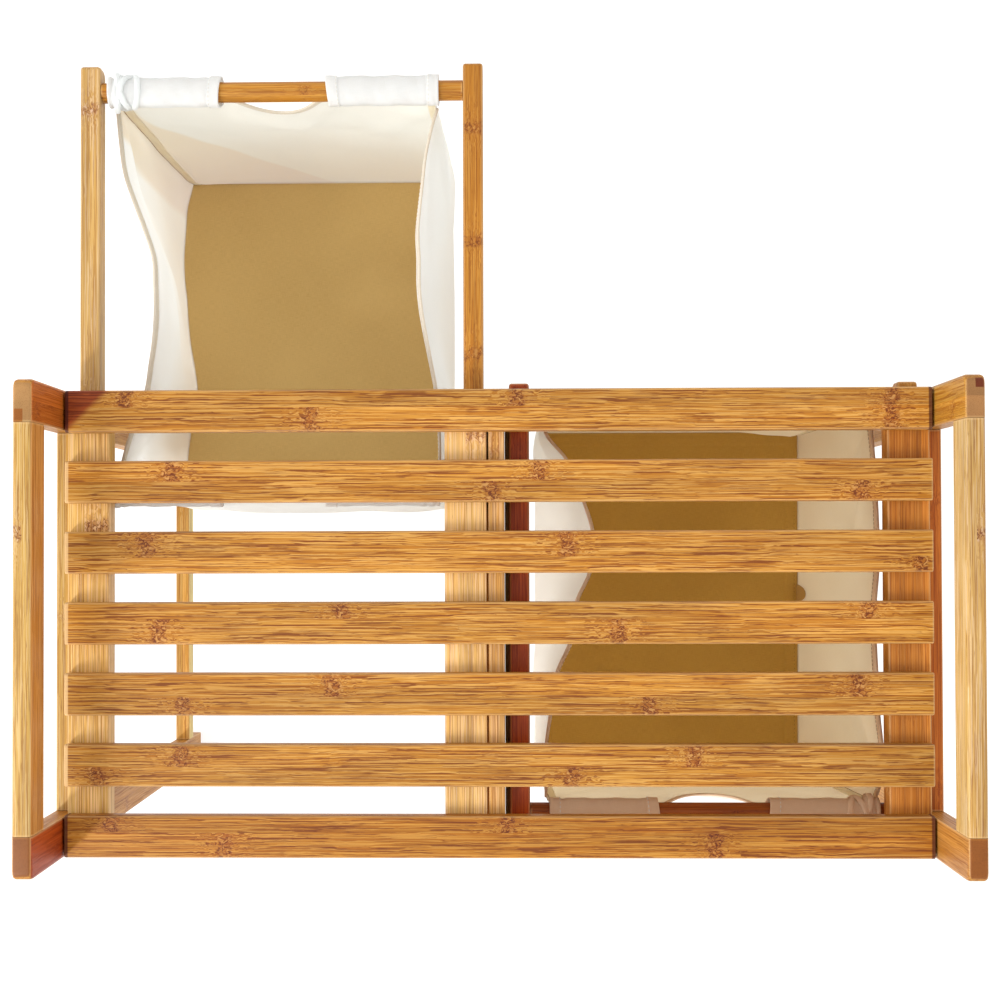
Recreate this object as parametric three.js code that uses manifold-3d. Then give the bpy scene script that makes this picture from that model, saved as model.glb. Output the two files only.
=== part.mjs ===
// A bamboo bench with two laundry bins that pull out from under its slatted seat.
// Millimetres, +Z up, the front of the bench toward -Y and the floor at z = 0. The bin on the
// +X side stands pulled out, the bin on the -X side is pushed home, and x = 0, y = 0 is the
// middle of the ground that the whole object covers.

import * as THREE from 'three';
import { mergeVertices } from 'three/addons/utils/BufferGeometryUtils.js';
import Module from 'manifold-3d';

const wasm = await Module();
wasm.setup();

// Bench, overall
const benchLength = 730;
const benchDepth = 378.6;
const benchHeight = 568;
const seatDrop = 70;

// End frames: two legs with a hand rail, a seat rail and a lower rail between them
const frameThickness = 15.4;
const frameEase = 2.6;
const legDepth = 33;
const legShoulder = 7;
const legToe = 3;
const handRailHeight = 30;
const handRailEase = 3;
const seatRailHeight = 30;
const lowerRailHeight = 20;
const lowerRailTop = 60;
const railEase = 1.6;

// Seat
const slatCount = 7;
const slatWidth = 34;
const slatThickness = 12;
const slatEase = 2;
const slatEndGap = 1.6;
const slatSetback = 1.3;
const battenWidth = 34;
const battenThickness = 17.5;
const battenEase = 1.2;
const middleBattenShift = 25;
const underSeatSetback = 3.8;

// Middle rail and the ledges that carry the arms
const middleRailWidth = 13.2;
const ledgeThickness = 12;
const outerLedgeWidth = 23.5;
const innerLedgeWidth = 20;

// Back stretcher between the back legs
const stretcherThickness = 15;
const stretcherHeight = 34;
const stretcherTop = 82;

// Bins: two arms and two round bars
const armWidth = 16.5;
const armHeight = 18;
const armEase = 2;
const armNose = 7;
const armTail = 3;
const armOverhang = 6.7;
const armSetback = 10.3;
const barDiameter = 16.4;
const barInset = 20;
const barDrop = 1;
const pullOut = 266.3;

// Bag
const clothThickness = 1.6;
const sleeveSetback = 14.4;
const gripHalf = 44;
const gripDrop = 45;
const bagDepth = 295;
const boardThickness = 4;
const boardPastSleeve = 0.3;
const boardPastBar = 1.5;
const boardCorner = 6;
const boardEase = 1;
const outSag = 31;
const outInnerSag = 20;
const homeInnerSag = 33;
const homeOuterSag = 3;

// Fasteners
const boltHeadRadius = 5;
const boltHeadLength = 4;
const boltRadius = 3;
const boltGrip = 16;
const boltSocket = 2.3;
const boltSocketDepth = 2.4;
const screwHeadRadius = 3.6;
const screwHeadLength = 2.6;
const screwRadius = 1.8;
const screwBite = 22;
const screwSocket = 1.4;
const screwSocketDepth = 1.5;

// Clearances
const jointGap = 0.3;
const runningGap = 0.3;
const sidePlay = 3.9;
const armHeadroom = 1.2;
const fastenerGap = 0.3;
const overrun = 20;

// Fineness
const turnSides = 20;
const fastenerSides = 12;
const socketSides = 6;
const archSteps = 8;
const sleeveSteps = 3;
const sagSteps = 14;
const dropSteps = 6;

// Levels and places worked out from the sizes
const innerFace = benchLength / 2 - frameThickness;
const seatTop = benchHeight - seatDrop;
const slatBottom = seatTop - slatThickness;
const battenTop = slatBottom - jointGap;
const battenBottom = battenTop - battenThickness;
const armTop = battenBottom - armHeadroom;
const armBottom = armTop - armHeight;
const ledgeTop = armBottom - runningGap;
const ledgeBottom = ledgeTop - ledgeThickness;
const barLevel = (armTop + armBottom) / 2 - barDrop;
const legFace = benchDepth / 2 - legDepth;
const underSeatLength = benchDepth - 2 * underSeatSetback;
const middleFace = middleRailWidth / 2;
const binCentre = (middleFace + innerFace) / 2;
const binWidth = innerFace - middleFace - 2 * sidePlay;
const armCentre = (binWidth - armWidth) / 2;
const armInner = binWidth / 2 - armWidth;
const armLength = benchDepth + armOverhang - armSetback;
const barRadius = barDiameter / 2;
const barReach = armLength / 2 - barInset;
const homeShift = (benchDepth - armLength) / 2 + armOverhang;
const benchMiddle = (armOverhang + pullOut) / 2;

const bamboo = new THREE.MeshStandardMaterial({ color: 0xd09a58, roughness: 0.45, metalness: 0 });
const canvas = new THREE.MeshStandardMaterial({ color: 0xf3ecdd, roughness: 0.95, metalness: 0 });
const khaki = new THREE.MeshStandardMaterial({ color: 0xab8f56, roughness: 0.9, metalness: 0 });
const steel = new THREE.MeshStandardMaterial({ color: 0x8d8d8a, roughness: 0.35, metalness: 1 });

const along = {
  x: new THREE.Matrix4().makeBasis(
    new THREE.Vector3(0, 1, 0), new THREE.Vector3(0, 0, 1), new THREE.Vector3(1, 0, 0)),
  y: new THREE.Matrix4().makeBasis(
    new THREE.Vector3(1, 0, 0), new THREE.Vector3(0, 0, 1), new THREE.Vector3(0, -1, 0)),
  z: new THREE.Matrix4(),
};

// An outline with four corners of their own radii, listed from the lower left one on,
// turning left; a radius of zero keeps the corner sharp
function cornered(left, bottom, right, top, radii) {
  const outline = new THREE.Shape();
  const corners = [[left, bottom, 1, 1], [right, bottom, -1, 1], [right, top, -1, -1], [left, top, 1, -1]];
  corners.forEach(([x, y, dx, dy], k) => {
    const radius = radii[k];
    if (radius > 0) {
      const start = Math.PI + (k * Math.PI) / 2;
      outline.absarc(x + dx * radius, y + dy * radius, radius, start, start + Math.PI / 2, false);
    } else if (k === 0) {
      outline.moveTo(x, y);
    } else {
      outline.lineTo(x, y);
    }
  });
  return outline;
}

// An outline run along one axis, centred on that axis, its two ends eased
function run(outline, length, axis, ease = 0, arcs = 1) {
  const geometry = new THREE.ExtrudeGeometry(outline, {
    depth: length - 2 * ease,
    curveSegments: arcs,
    bevelEnabled: ease > 0,
    bevelThickness: ease,
    bevelSize: ease,
    bevelOffset: -ease,
    bevelSegments: 2,
  });
  geometry.translate(0, 0, ease - length / 2);
  return geometry.applyMatrix4(along[axis]);
}

// A straight board with the same ease on its four long edges
function board(length, across, up, axis, ease, endEase = 0) {
  const outline = cornered(-across / 2, -up / 2, across / 2, up / 2, [ease, ease, ease, ease]);
  return run(outline, length, axis, endEase);
}

// Solids for joining and cutting
function solidOf(geometry) {
  const bare = geometry.clone();
  bare.deleteAttribute('normal');
  bare.deleteAttribute('uv');
  const merged = mergeVertices(bare);
  const vertProperties = new Float32Array(merged.attributes.position.array);
  const triVerts = new Uint32Array(merged.index.array);
  return new wasm.Manifold(new wasm.Mesh({ numProp: 3, vertProperties, triVerts }));
}

function geometryOf(solid) {
  const { vertProperties, triVerts } = solid.getMesh();
  const geometry = new THREE.BufferGeometry();
  geometry.setAttribute('position', new THREE.BufferAttribute(new Float32Array(vertProperties), 3));
  geometry.setIndex(new THREE.BufferAttribute(new Uint32Array(triVerts), 1));
  geometry.computeVertexNormals();
  return geometry;
}

function cut(geometry, tools) {
  let solid = solidOf(geometry);
  for (const tool of tools) solid = solid.subtract(solidOf(tool));
  return geometryOf(solid);
}

function join(geometries) {
  let solid = solidOf(geometries[0]);
  for (const other of geometries.slice(1)) solid = solid.add(solidOf(other));
  return geometryOf(solid);
}

// A headed fastener lying along X with the flat of its head at x = 0 and its shank toward
// +X; grown by a clearance it is the hole that it goes through
function fastener(headRadius, headLength, radius, length, grow = 0, lead = 0) {
  const points = [
    [0, -lead], [headRadius + grow, -lead], [headRadius + grow, headLength + grow],
    [radius + grow, headLength + grow], [radius + grow, length + grow], [0, length + grow],
  ];
  const profile = points.map(([r, h]) => new THREE.Vector2(r, h));
  const geometry = new THREE.LatheGeometry(profile, fastenerSides);
  return geometry.rotateZ(-Math.PI / 2);
}

function socketed(geometry, radius, depth) {
  const socket = new THREE.CylinderGeometry(radius, radius, depth + overrun, socketSides);
  socket.rotateZ(Math.PI / 2).translate((depth - overrun) / 2, 0, 0);
  return cut(geometry, [socket]);
}

// A cloth panel: centre gives its middle surface, s across and t down, and half of its
// thickness is laid off to each side along the way that it faces
function clothPanel(centre, facing, across, down) {
  const columns = across + 1;
  const layer = columns * (down + 1);
  const positions = [];
  const index = [];
  for (const side of [0.5, -0.5]) {
    for (let j = 0; j <= down; j++) {
      for (let i = 0; i <= across; i++) {
        const point = centre(i / across, j / down).addScaledVector(facing, side * clothThickness);
        positions.push(point.x, point.y, point.z);
      }
    }
  }
  const quad = (a, b, c, d) => index.push(a, b, c, a, c, d);
  for (let j = 0; j < down; j++) {
    for (let i = 0; i < across; i++) {
      const a = j * columns + i;
      quad(a, a + 1, a + 1 + columns, a + columns);
      quad(layer + a, layer + a + columns, layer + a + 1 + columns, layer + a + 1);
    }
    const first = j * columns;
    const last = first + across;
    quad(first, first + columns, layer + first + columns, layer + first);
    quad(last, layer + last, layer + last + columns, last + columns);
  }
  for (let i = 0; i < across; i++) {
    const low = down * columns + i;
    quad(i, layer + i, layer + i + 1, i + 1);
    quad(low, low + 1, layer + low + 1, layer + low);
  }
  const geometry = new THREE.BufferGeometry();
  geometry.setAttribute('position', new THREE.Float32BufferAttribute(positions, 3));
  geometry.setIndex(enclosed(positions, index) > 0 ? index : index.reverse());
  geometry.computeVertexNormals();
  return geometry;
}

// Six times the volume inside a closed list of triangles, positive when they face outward
function enclosed(positions, index) {
  const corner = (k) => new THREE.Vector3().fromArray(positions, 3 * index[k]);
  let sum = 0;
  for (let k = 0; k < index.length; k += 3) {
    sum += corner(k).dot(corner(k + 1).cross(corner(k + 2)));
  }
  return sum;
}

function add(group, name, geometry, material, x = 0, y = 0, z = 0) {
  const mesh = new THREE.Mesh(geometry, material);
  mesh.name = name;
  mesh.position.set(x, y, z);
  group.add(mesh);
  return mesh;
}

const bench = new THREE.Group();
bench.position.set(0, benchMiddle, 0);

// One leg, its outer edge toward -Y: the profile runs past the rails' side and is cut there,
// so that the rails meet a square face
function legGeometry() {
  const outline = cornered(-legDepth / 2, 0, legDepth / 2 + frameEase, benchHeight,
    [legToe + frameEase, 0, 0, legShoulder]);
  const blank = run(outline, frameThickness, 'x', frameEase, 2);
  const waste = new THREE.BoxGeometry(frameThickness + overrun, frameEase + overrun, benchHeight + overrun);
  waste.translate(0, legDepth / 2 + (frameEase + overrun) / 2, benchHeight / 2);
  const hole = fastener(boltHeadRadius, boltHeadLength, boltRadius, frameThickness + overrun,
    fastenerGap, overrun);
  hole.translate(-frameThickness / 2, 0, battenTop - battenThickness / 2);
  return cut(blank, [waste, hole]);
}

function addEndFrame(side, sign) {
  const frame = new THREE.Group();
  frame.position.x = sign * (benchLength - frameThickness) / 2;
  bench.add(frame);
  const leg = legGeometry();
  const front = add(frame, `${side}_front_leg`, leg, bamboo, 0, -(benchDepth - legDepth) / 2);
  const back = add(frame, `${side}_back_leg`, leg.clone().rotateZ(Math.PI), bamboo,
    0, (benchDepth - legDepth) / 2);
  // The bolt holes open outward, so a leg is mirrored in X where its blank faces the other way
  if (sign > 0) front.geometry = mirrored(front.geometry, 'x');
  if (sign < 0) back.geometry = mirrored(back.geometry, 'x');
  const span = 2 * (legFace - jointGap);
  const rail = (height, ease) => board(span, frameThickness, height, 'y', ease);
  add(frame, `${side}_hand_rail`, rail(handRailHeight, handRailEase), bamboo,
    0, 0, benchHeight - handRailHeight / 2);
  add(frame, `${side}_seat_rail`, rail(seatRailHeight, railEase), bamboo,
    0, 0, ledgeBottom + seatRailHeight / 2);
  add(frame, `${side}_lower_rail`, rail(lowerRailHeight, railEase), bamboo,
    0, 0, lowerRailTop - lowerRailHeight / 2);
  for (const [place, y] of [['front', -1], ['back', 1]]) {
    const length = frameThickness + boltGrip;
    const bolt = socketed(fastener(boltHeadRadius, boltHeadLength, boltRadius, length),
      boltSocket, boltSocketDepth);
    if (sign > 0) bolt.rotateZ(Math.PI);
    add(frame, `${side}_${place}_seat_bolt`, bolt, steel, (sign * frameThickness) / 2,
      (y * (benchDepth - legDepth)) / 2, battenTop - battenThickness / 2);
  }
}

function mirrored(geometry, axis) {
  const flip = new THREE.Vector3(1, 1, 1);
  flip[axis] = -1;
  const copy = geometry.clone().scale(flip.x, flip.y, flip.z);
  const order = Array.from(copy.index.array).reverse();
  copy.setIndex(order);
  return copy;
}

function addSeat() {
  const firstSlat = (slatWidth - benchDepth) / 2 + slatSetback;
  const pitch = (-2 * firstSlat) / (slatCount - 1);
  const length = 2 * (innerFace - slatEndGap);
  for (let k = 0; k < slatCount; k++) {
    add(bench, `seat_slat_${k + 1}`, board(length, slatWidth, slatThickness, 'x', slatEase, slatEase / 2),
      bamboo, 0, firstSlat + k * pitch, seatTop - slatThickness / 2);
  }
  const batten = board(underSeatLength, battenWidth, battenThickness, 'y', battenEase, battenEase / 2);
  const level = battenTop - battenThickness / 2;
  for (const [side, sign] of [['left', -1], ['right', 1]]) {
    const holes = [-1, 1].map((end) => {
      const hole = fastener(boltHeadRadius, boltHeadLength, boltRadius, frameThickness + boltGrip,
        fastenerGap, overrun);
      if (sign > 0) hole.rotateZ(Math.PI);
      const face = sign * (battenWidth / 2 + jointGap + frameThickness);
      return hole.translate(face, (end * (benchDepth - legDepth)) / 2, 0);
    });
    add(bench, `${side}_seat_batten`, cut(batten, holes), bamboo,
      sign * (innerFace - jointGap - battenWidth / 2), 0, level);
  }
  add(bench, 'middle_seat_batten', batten, bamboo, middleBattenShift, 0, level);
}

function addRunners() {
  const middleHeight = battenTop - ledgeBottom;
  const middle = board(underSeatLength, middleRailWidth, middleHeight, 'y', railEase, railEase / 2);
  add(bench, 'middle_rail', middle, bamboo, 0, 0, (battenTop + ledgeBottom) / 2);
  const outer = board(underSeatLength, outerLedgeWidth, ledgeThickness, 'y', railEase, railEase / 2);
  const inner = board(underSeatLength, innerLedgeWidth, ledgeThickness, 'y', railEase, railEase / 2);
  const level = ledgeTop - ledgeThickness / 2;
  for (const [side, sign] of [['left', -1], ['right', 1]]) {
    add(bench, `${side}_outer_ledge`, outer, bamboo,
      sign * (innerFace - jointGap - outerLedgeWidth / 2), 0, level);
    add(bench, `${side}_inner_ledge`, inner, bamboo,
      sign * (middleFace + jointGap + innerLedgeWidth / 2), 0, level);
  }
}

function addStretcher() {
  const length = 2 * (innerFace - jointGap);
  add(bench, 'back_stretcher', board(length, stretcherThickness, stretcherHeight, 'x', railEase), bamboo,
    0, (benchDepth - legDepth) / 2, stretcherTop - stretcherHeight / 2);
}

// Bin arms: a long board with a rounded nose, eased along both sides, and a hole for the
// screw at each bar
function armGeometry(sign) {
  const outline = cornered(-armLength / 2, -armHeight / 2, armLength / 2, armHeight / 2,
    [armNose, armTail, armTail, armNose / 2]);
  const holes = [-1, 1].map((end) => {
    const hole = fastener(screwHeadRadius, screwHeadLength, screwRadius, armWidth + overrun,
      fastenerGap, overrun);
    hole.translate(-armWidth / 2, 0, 0);
    if (sign > 0) hole.rotateZ(Math.PI);
    return hole.translate(0, end * barReach, -barDrop);
  });
  return cut(run(outline, armWidth, 'x', armEase, 2), holes);
}

function barGeometry(length) {
  const bar = new THREE.CylinderGeometry(barRadius, barRadius, length, turnSides).rotateZ(Math.PI / 2);
  const pilots = [-1, 1].map((end) => {
    const pilot = new THREE.CylinderGeometry(screwRadius + fastenerGap, screwRadius + fastenerGap,
      2 * (screwBite - armWidth + fastenerGap), fastenerSides);
    return pilot.rotateZ(Math.PI / 2).translate((end * length) / 2, 0, 0);
  });
  return cut(bar, pilots);
}

// The bag's levels and edges, measured from the middle of its bin
const sleeveBore = barRadius + jointGap;
const sleeveRadius = sleeveBore + clothThickness;
const sleeveOuter = armInner - sleeveSetback;
const boardTop = barLevel - bagDepth;
const boardWidth = 2 * (sleeveOuter + boardPastSleeve);
const boardLength = 2 * (barReach + boardPastBar);
const baseTop = boardTop - boardThickness - jointGap;
const baseBottom = baseTop - clothThickness;
const wallBottom = baseTop + jointGap;
const endWallTop = barLevel - (sleeveBore + sleeveRadius) / 2;
const sideWallTop = barLevel - sleeveRadius - jointGap;
const sideAtTop = sleeveOuter - clothThickness / 2;
const sideAtBase = boardWidth / 2 + jointGap + clothThickness / 2;
const endAtBase = boardLength / 2 + jointGap + clothThickness / 2;
const wallHeight = endWallTop - wallBottom;

// How far down the wall a level lies, 0 at the bars and 1 at the base
function depthAt(z) {
  return (endWallTop - z) / wallHeight;
}

// Middle surface of the end walls, leaning from the bar out to the edge of the board
function endWallY(z) {
  return barReach + (endAtBase - barReach) * depthAt(z);
}

function sideWallX(z) {
  return sideAtTop + (sideAtBase - sideAtTop) * depthAt(z);
}

// Top edge of an end wall: under the sleeves it is level, and between them it dips in the
// half ellipse of the grip
function archTop(x) {
  if (Math.abs(x) >= gripHalf) return endWallTop;
  const dip = gripDrop - (barLevel - endWallTop);
  return endWallTop - dip * Math.sqrt(1 - (x / gripHalf) ** 2);
}

// Places across an end wall, closer together where the arch is steep
function endWallPlaces() {
  const half = sideAtTop + clothThickness / 2;
  const places = [];
  for (let k = 0; k < sleeveSteps; k++) places.push(-half + (k * (half - gripHalf)) / sleeveSteps);
  for (let k = 0; k <= archSteps; k++) places.push(-gripHalf * Math.cos((k * Math.PI) / archSteps));
  for (let k = 1; k <= sleeveSteps; k++) places.push(gripHalf + (k * (half - gripHalf)) / sleeveSteps);
  return places;
}

// One end wall with its two sleeves, for the bar on the side that sign gives
function endWallGeometry(sign) {
  const places = endWallPlaces();
  const half = sideAtTop + clothThickness / 2;
  const wall = clothPanel((s, t) => {
    const x = places[Math.round(s * (places.length - 1))];
    const z = archTop(x) + (wallBottom - archTop(x)) * t;
    const spread = (sideWallX(z) + clothThickness / 2) / half;
    return new THREE.Vector3(x * spread, sign * endWallY(z), z);
  }, new THREE.Vector3(0, 1, 0), places.length - 1, dropSteps);
  const ring = new THREE.Shape().absarc(0, 0, sleeveRadius, 0, 2 * Math.PI, false);
  ring.holes.push(new THREE.Path().absarc(0, 0, sleeveBore, 0, 2 * Math.PI, true));
  const sleeves = [-1, 1].map((end) => {
    const sleeve = run(ring, sleeveOuter - gripHalf, 'x', 0, turnSides / 2);
    return sleeve.translate((end * (sleeveOuter + gripHalf)) / 2, sign * barReach, barLevel);
  });
  return join([wall, ...sleeves]);
}

// One side wall: its upper edge is slack and hangs in toward the bag in the middle of its
// length, and the slack runs out toward the corners and toward the board, beside which the
// wall is straight
function sideWallGeometry(sign, sag) {
  const rows = dropSteps + 1;
  return clothPanel((s, t) => {
    const row = Math.round(t * rows);
    const drop = Math.min(row / dropSteps, 1);
    const z = row === rows ? wallBottom : sideWallTop + (boardTop - sideWallTop) * drop;
    const reach = endWallY(z) - clothThickness / 2 - jointGap;
    const slack = sag * Math.sin(Math.PI * s) ** 2 * Math.cos((Math.PI / 2) * drop);
    return new THREE.Vector3(sign * (sideWallX(z) - slack), (2 * s - 1) * reach, z);
  }, new THREE.Vector3(1, 0, 0), sagSteps, rows);
}

function addBin(side, sign, slide, outerSag, innerSag) {
  const bin = new THREE.Group();
  bin.position.set(sign * binCentre, -homeShift - slide, 0);
  bench.add(bin);
  const armLevel = (armTop + armBottom) / 2;
  const barLength = 2 * (armInner - jointGap);
  for (const [place, x] of [['outer', sign], ['inner', -sign]]) {
    add(bin, `${side}_bin_${place}_arm`, armGeometry(x), bamboo, x * armCentre, 0, armLevel);
    for (const [end, y] of [['front', -1], ['back', 1]]) {
      const screw = socketed(fastener(screwHeadRadius, screwHeadLength, screwRadius, screwBite),
        screwSocket, screwSocketDepth);
      if (x > 0) screw.rotateZ(Math.PI);
      add(bin, `${side}_bin_${end}_${place}_screw`, screw, steel,
        (x * binWidth) / 2, y * barReach, barLevel);
    }
  }
  for (const [end, y] of [['front', -1], ['back', 1]]) {
    add(bin, `${side}_bin_${end}_bar`, barGeometry(barLength), bamboo, 0, y * barReach, barLevel);
    add(bin, `${side}_bag_${end}_wall`, endWallGeometry(y), canvas);
  }
  add(bin, `${side}_bag_outer_wall`, sideWallGeometry(sign, outerSag), canvas);
  add(bin, `${side}_bag_inner_wall`, sideWallGeometry(-sign, innerSag), canvas);
  const baseOutline = cornered(-sideAtBase, -endAtBase, sideAtBase, endAtBase,
    Array(4).fill(boardCorner));
  add(bin, `${side}_bag_base`, run(baseOutline, clothThickness, 'z', 0, 2), canvas,
    0, 0, (baseTop + baseBottom) / 2);
  const boardOutline = cornered(-boardWidth / 2, -boardLength / 2, boardWidth / 2, boardLength / 2,
    Array(4).fill(boardCorner));
  add(bin, `${side}_base_board`, run(boardOutline, boardThickness, 'z', boardEase, 2), khaki,
    0, 0, boardTop - boardThickness / 2);
}

addEndFrame('left', -1);
addEndFrame('right', 1);
addSeat();
addRunners();
addStretcher();
addBin('right', 1, pullOut, outSag, outInnerSag);
addBin('left', -1, 0, homeOuterSag, homeInnerSag);

const laundryBench = new THREE.Group();
laundryBench.add(bench);
laundryBench.updateMatrixWorld(true);

export default laundryBench;
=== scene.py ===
"""Looks of the bamboo laundry bench: bamboo, canvas bags, khaki base boards and steel screws.

The front of the bench is toward -Y, and the bin on the +X side is pulled out. Meshes and materials are in
metres. A bag is worked out in millimetres in its own directions, and its world() places it.
"""
import math

import bpy
import numpy as np
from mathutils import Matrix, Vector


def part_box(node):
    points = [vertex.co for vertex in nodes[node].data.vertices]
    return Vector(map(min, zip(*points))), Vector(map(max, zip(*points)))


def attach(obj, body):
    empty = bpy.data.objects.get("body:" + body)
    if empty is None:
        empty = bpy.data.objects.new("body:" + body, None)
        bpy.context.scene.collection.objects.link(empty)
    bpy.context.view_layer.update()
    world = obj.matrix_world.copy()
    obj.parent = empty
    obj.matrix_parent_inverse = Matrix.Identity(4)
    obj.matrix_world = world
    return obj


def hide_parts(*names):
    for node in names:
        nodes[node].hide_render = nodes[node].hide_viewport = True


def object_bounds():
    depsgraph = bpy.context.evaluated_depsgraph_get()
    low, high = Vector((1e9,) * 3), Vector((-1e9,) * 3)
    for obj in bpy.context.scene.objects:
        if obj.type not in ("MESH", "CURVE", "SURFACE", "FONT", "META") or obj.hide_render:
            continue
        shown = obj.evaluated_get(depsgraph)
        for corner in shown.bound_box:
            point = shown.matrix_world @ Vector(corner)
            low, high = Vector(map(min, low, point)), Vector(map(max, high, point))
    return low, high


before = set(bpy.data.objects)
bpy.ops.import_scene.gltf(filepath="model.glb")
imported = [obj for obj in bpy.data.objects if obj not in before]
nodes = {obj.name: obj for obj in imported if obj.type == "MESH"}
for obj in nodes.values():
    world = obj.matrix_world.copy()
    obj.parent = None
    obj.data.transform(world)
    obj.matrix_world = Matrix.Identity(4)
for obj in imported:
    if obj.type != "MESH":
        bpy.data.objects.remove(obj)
cad_low, cad_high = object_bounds()
scene = bpy.context.scene

MM = 0.001
PI = math.pi


# ---------- arrays to meshes ----------

def grid(rows, columns):
    """Two parameters, each running from 0 to 1, over a grid with that many steps."""
    return np.meshgrid(np.linspace(0, 1, rows + 1), np.linspace(0, 1, columns + 1), indexing="ij")


def stack(x, y, z):
    """Three arrays of coordinates as one array of points."""
    return np.stack(np.broadcast_arrays(x, y, z), -1).astype(float)


def unit(v):
    """Vectors divided by their lengths."""
    return v / np.maximum(np.linalg.norm(v, axis=-1, keepdims=True), 1e-12)


def within(value):
    """The value, held between 0 and 1."""
    return np.clip(value, 0, 1)


def bell(distance, width):
    """A hump: the exponential of minus the square of the distance over the width."""
    return np.exp(-(distance / width) ** 2)


def through(points, s):
    """Smooth curve through (place, value) points: a cubic in each span, its slopes taken from the neighbours."""
    x, y = np.array(points, float).T
    slope = np.gradient(y, x)
    k = np.clip(np.searchsorted(x, s) - 1, 0, len(x) - 2)
    h = x[k + 1] - x[k]
    u = within((s - x[k]) / h)
    start = (1 + 2 * u) * (1 - u) ** 2 * y[k] + u * (1 - u) ** 2 * h * slope[k]
    return start + u * u * (3 - 2 * u) * y[k + 1] + u * u * (u - 1) * h * slope[k + 1]


def arc_lengths(points):
    """Length along a line of points up to each of them."""
    steps = np.linalg.norm(np.diff(points, axis=0), axis=-1)
    return np.concatenate([[0], np.cumsum(steps)])


def skin(points):
    """Quads over a grid of points. Their map is the lengths along its middle row and its middle column."""
    rows, columns = points.shape[:2]
    u, v = arc_lengths(points[rows // 2]), arc_lengths(points[:, columns // 2])
    uv = np.stack(np.broadcast_arrays(u[None, :], v[:, None]), -1)
    k = np.arange(rows * columns).reshape(rows, columns)
    quads = np.stack([k[:-1, :-1], k[1:, :-1], k[1:, 1:], k[:-1, 1:]], -1).reshape(-1, 4)
    return points.reshape(-1, 3), quads, uv.reshape(-1, 2)


def turned(part):
    """The same faces, seen from their other side."""
    points, quads, uv = part
    return points, quads[:, ::-1], uv


def piece(bag, label, parts, materials, finishes=None):
    """One object of a bag from several skins. Points that coincide are joined, which closes seams and poles,
    and a quad that has lost a corner by that becomes a triangle. Finishes give each skin its material's place
    in the list."""
    name = f"{bag.side}_{label}"
    counts = np.cumsum([0] + [len(p[0]) for p in parts])
    points = np.concatenate([p[0] for p in parts])
    quads = np.concatenate([p[1] + c for p, c in zip(parts, counts)])
    uv = np.concatenate([p[2] for p in parts])
    places = np.round(points / 2e-6).astype(np.int64)
    _, first, same = np.unique(places, axis=0, return_index=True, return_inverse=True)
    joined = same.reshape(-1)[quads]
    keep = joined != np.roll(joined, -1, axis=1)
    whole = (keep.sum(1) >= 3) & (joined[:, 0] != joined[:, 2]) & (joined[:, 1] != joined[:, 3])
    joined, corners, keep = joined[whole], quads[whole], keep[whole]
    loop_starts = np.concatenate([[0], np.cumsum(keep.sum(1))[:-1]])
    mesh = bpy.data.meshes.new(name)
    mesh.vertices.add(len(first))
    mesh.vertices.foreach_set("co", points[first].astype(np.float32).ravel())
    mesh.loops.add(int(keep.sum()))
    mesh.loops.foreach_set("vertex_index", joined[keep].astype(np.int32))
    mesh.polygons.add(len(keep))
    mesh.polygons.foreach_set("loop_start", loop_starts.astype(np.int32))
    mesh.uv_layers.new(name="cloth").data.foreach_set("uv", uv[corners[keep]].astype(np.float32).ravel())
    mesh.update(calc_edges=True)
    mesh.validate()
    mesh.polygons.foreach_set("use_smooth", np.ones(len(mesh.polygons), bool))
    for material in materials:
        mesh.materials.append(material)
    if finishes:
        finish = np.repeat(finishes, [len(p[1]) for p in parts])[whole]
        mesh.polygons.foreach_set("material_index", finish.astype(np.int32))
    thing = bpy.data.objects.new(name, mesh)
    scene.collection.objects.link(thing)
    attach(thing, bag.body)
    return thing


# ---------- node trees ----------

class Flow:
    """A value that runs through a node tree. Arithmetic with it adds Math nodes to the tree."""

    def __init__(self, weave, socket):
        self.weave, self.socket = weave, socket

    def __add__(self, other):
        return self.weave.math("ADD", self, other)

    def __sub__(self, other):
        return self.weave.math("SUBTRACT", self, other)

    def __rsub__(self, other):
        return self.weave.math("SUBTRACT", other, self)

    def __mul__(self, other):
        return self.weave.math("MULTIPLY", self, other)

    def __truediv__(self, other):
        return self.weave.math("DIVIDE", self, other)

    def __abs__(self):
        return self.weave.math("ABSOLUTE", self)

    __radd__, __rmul__ = __add__, __mul__


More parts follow.
